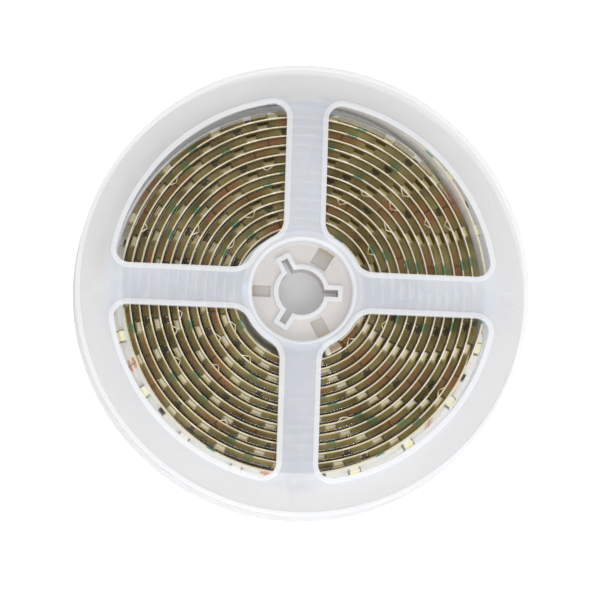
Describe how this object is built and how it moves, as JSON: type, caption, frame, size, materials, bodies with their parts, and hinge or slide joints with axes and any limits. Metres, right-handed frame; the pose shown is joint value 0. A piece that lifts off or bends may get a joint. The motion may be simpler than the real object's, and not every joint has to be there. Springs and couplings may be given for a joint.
{
  "type": "led strip light reel",
  "caption": "Flat spoked plastic reel with a keyed arbor bore, wound with LED strip light in a clear silicone sleeve, its last turn loose",
  "frame": {"origin": "centre of the reel's resting face, on the arbor's axis", "axes": "+Z along the arbor's axis, up from the lower half to the upper half; +X along a spoke and the key slot that it points at; +Y along the next spoke counter-clockwise"},
  "size_m": [0.127, 0.127, 0.0155],
  "materials": {
    "milky_plastic": "satin moulded, slightly translucent",
    "clear_silicone": "clear glossy silicone",
    "strip_board": "flexible board with soldered LEDs",
    "plug_silicone": "satin"
  },
  "bodies": {
    "root": {"lower_reel_half": "milky_plastic", "upper_reel_half": "milky_plastic", "silicone_sleeve": "clear_silicone", "led_strip": "strip_board", "inner_end_plug": "plug_silicone", "outer_end_plug": "plug_silicone"}
  },
  "joints": []
}
